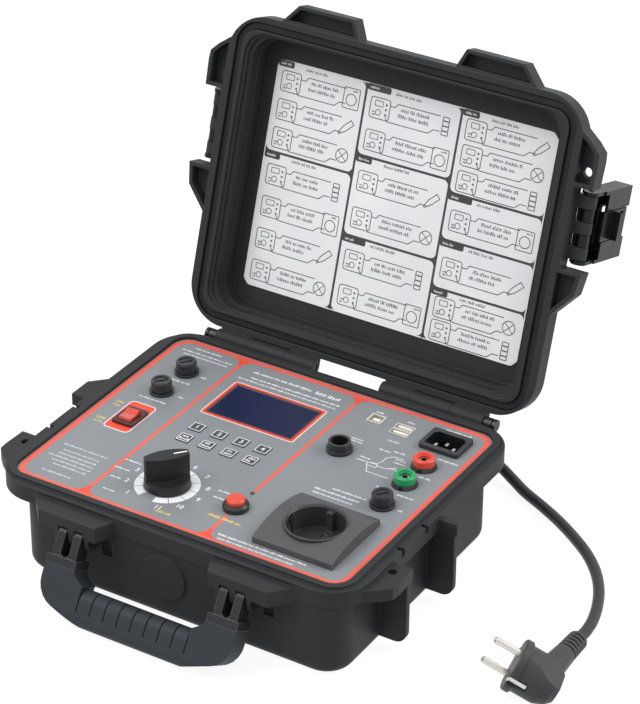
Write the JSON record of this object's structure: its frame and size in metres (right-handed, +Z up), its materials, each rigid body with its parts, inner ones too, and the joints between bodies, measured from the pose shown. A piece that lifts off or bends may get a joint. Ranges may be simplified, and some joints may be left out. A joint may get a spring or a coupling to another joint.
{
  "type": "portable electrical safety tester",
  "caption": "Portable appliance tester built into a black waterproof hard case, lid open, with display, keys, rotary selector, mains outlet, test sockets, carrying handle and mains lead.",
  "frame": {"origin": "middle of the rim, down on the plane of the flat underside of the case base, which stands on the floor", "axes": "+X along the lid hinge to the right as seen from the handle, +Y from the handle to the hinge, +Z up"},
  "size_m": [0.4303, 0.4007, 0.3065],
  "materials": {
    "case_plastic": "moulded, fine grain",
    "panel_print": "matt print on sheet",
    "window_plastic": "polished",
    "circuit_board": "lacquered",
    "key_rubber": "matt",
    "switch_frame_red": "polished",
    "switch_red": "translucent, polished",
    "knob_plastic": "fine satin",
    "white_plastic": "satin",
    "black_plastic": "satin",
    "button_red": "satin",
    "led_lens": "clear, unlit",
    "glass_fuse": "clear tube",
    "socket_red": "satin",
    "socket_green": "satin",
    "contact_gold": "gold plated",
    "contact_nickel": "nickel plated",
    "outlet_plastic": "satin",
    "iron_core": "lacquered laminations",
    "brass_post": "turned",
    "cord_jacket": "extruded, satin",
    "plug_rubber": "moulded, matt",
    "steel_pin": "drawn rod",
    "handle_plastic": "moulded",
    "handle_rubber": "overmoulded, matt",
    "seal_rubber": "foam strip",
    "chart_card": "printed, laminated",
    "latch_plastic": "moulded, glossy"
  },
  "bodies": {
    "case_base": {"base_shell": "case_plastic", "front_panel": "panel_print", "lcd_window": "window_plastic", "lcd_module": "circuit_board", "rocker_bezel": "switch_frame_red", "rotary_switch": "black_plastic", "button_collar": "black_plastic", "status_led": "led_lens", "fuse_holders": "black_plastic", "fuse_links": "glass_fuse", "socket_red": "socket_red", "socket_green": "socket_green", "socket_flanges": "black_plastic", "socket_contacts": "contact_gold", "probe_connector": "black_plastic", "probe_insert": "black_plastic", "iec_inlet": "black_plastic", "iec_pins": "contact_nickel", "usb_shells": "contact_nickel", "usb_tongues": "white_plastic", "outlet_plate": "outlet_plastic", "outlet_insert": "outlet_plastic", "outlet_clips": "contact_nickel", "outlet_contacts": "contact_gold", "circuit_board": "circuit_board", "board_posts": "brass_post", "transformer": "iron_core", "cable_gland": "black_plastic", "mains_cord": "cord_jacket", "plug_relief": "plug_rubber", "plug_body": "plug_rubber", "plug_pins": "contact_nickel", "plug_clips": "contact_nickel", "hinge_pins": "steel_pin", "handle_pins": "steel_pin"},
    "lid": {"lid_shell": "case_plastic", "lid_seal": "seal_rubber", "chart_plate": "chart_card", "latch_pins": "steel_pin"},
    "latch_r": {"latch_lever_r": "latch_plastic", "latch_catch_r": "latch_plastic"},
    "latch_l": {"latch_lever_l": "latch_plastic", "latch_catch_l": "latch_plastic"},
    "handle": {"handle_frame": "handle_plastic", "handle_grip": "handle_rubber"},
    "knob": {"selector_knob": "knob_plastic", "knob_pointer": "white_plastic"},
    "rocker": {"rocker": "switch_red"},
    "start_button": {"start_button": "button_red"},
    "key_1": {"key_1": "key_rubber"},
    "key_2": {"key_2": "key_rubber"},
    "key_3": {"key_3": "key_rubber"},
    "key_4": {"key_4": "key_rubber"},
    "key_5": {"key_5": "key_rubber"},
    "key_6": {"key_6": "key_rubber"},
    "key_7": {"key_7": "key_rubber"},
    "key_8": {"key_8": "key_rubber"},
    "fuse_cap_1": {"fuse_cap_1": "black_plastic"},
    "fuse_cap_2": {"fuse_cap_2": "black_plastic"},
    "fuse_cap_3": {"fuse_cap_3": "black_plastic"}
  },
  "joints": [
    {"name": "lid_hinge", "type": "hinge", "parent": "case_base", "child": "lid", "pos_m": [0, 0.1221, 0.0661], "axis": [1, 0, 0], "range_deg": [0, 107.4]},
    {"name": "handle_hinge", "type": "hinge", "parent": "case_base", "child": "handle", "pos_m": [0, -0.1255, 0.05], "axis": [-1, 0, 0], "range_deg": [0, 62.7]},
    {"name": "latch_r_hinge", "type": "hinge", "parent": "lid", "child": "latch_r", "pos_m": [0.1505, 0.18304, 0.20404], "axis": [0, -0.299, -0.9542], "range_deg": [0, 180]},
    {"name": "latch_l_hinge", "type": "hinge", "parent": "lid", "child": "latch_l", "pos_m": [-0.1505, 0.18304, 0.20404], "axis": [0, 0.299, 0.9542], "range_deg": [0, 180]},
    {"name": "knob_turn", "type": "hinge", "parent": "case_base", "child": "knob", "pos_m": [-0.031, -0.0633, 0.075], "axis": [0, 0, 1], "range_deg": [-150, 150]},
    {"name": "rocker_tilt", "type": "hinge", "parent": "case_base", "child": "rocker", "pos_m": [-0.1005, -0.007, 0.068], "axis": [-1, 0, 0], "range_deg": [0, 18]},
    {"name": "start_press", "type": "slide", "parent": "case_base", "child": "start_button", "axis": [0, 0, -1], "range_m": [0, 0.0025], "stiffness_N_per_m": 600},
    {"name": "key_1_press", "type": "slide", "parent": "case_base", "child": "key_1", "axis": [0, 0, -1], "range_m": [0, 0.0006], "stiffness_N_per_m": 800},
    {"name": "key_2_press", "type": "slide", "parent": "case_base", "child": "key_2", "axis": [0, 0, -1], "range_m": [0, 0.0006], "stiffness_N_per_m": 800},
    {"name": "key_3_press", "type": "slide", "parent": "case_base", "child": "key_3", "axis": [0, 0, -1], "range_m": [0, 0.0006], "stiffness_N_per_m": 800},
    {"name": "key_4_press", "type": "slide", "parent": "case_base", "child": "key_4", "axis": [0, 0, -1], "range_m": [0, 0.0006], "stiffness_N_per_m": 800},
    {"name": "key_5_press", "type": "slide", "parent": "case_base", "child": "key_5", "axis": [0, 0, -1], "range_m": [0, 0.0006], "stiffness_N_per_m": 800},
    {"name": "key_6_press", "type": "slide", "parent": "case_base", "child": "key_6", "axis": [0, 0, -1], "range_m": [0, 0.0006], "stiffness_N_per_m": 800},
    {"name": "key_7_press", "type": "slide", "parent": "case_base", "child": "key_7", "axis": [0, 0, -1], "range_m": [0, 0.0006], "stiffness_N_per_m": 800},
    {"name": "key_8_press", "type": "slide", "parent": "case_base", "child": "key_8", "axis": [0, 0, -1], "range_m": [0, 0.0006], "stiffness_N_per_m": 800},
    {"name": "fuse_cap_1_turn", "type": "hinge", "parent": "case_base", "child": "fuse_cap_1", "pos_m": [-0.1009, 0.0644, 0.072], "axis": [0, 0, 1], "range_deg": [0, 45]},
    {"name": "fuse_cap_2_turn", "type": "hinge", "parent": "case_base", "child": "fuse_cap_2", "pos_m": [-0.1014, 0.0335, 0.072], "axis": [0, 0, 1], "range_deg": [0, 45]},
    {"name": "fuse_cap_3_turn", "type": "hinge", "parent": "case_base", "child": "fuse_cap_3", "pos_m": [0.1045, -0.0077, 0.072], "axis": [0, 0, 1], "range_deg": [0, 45]}
  ]
}
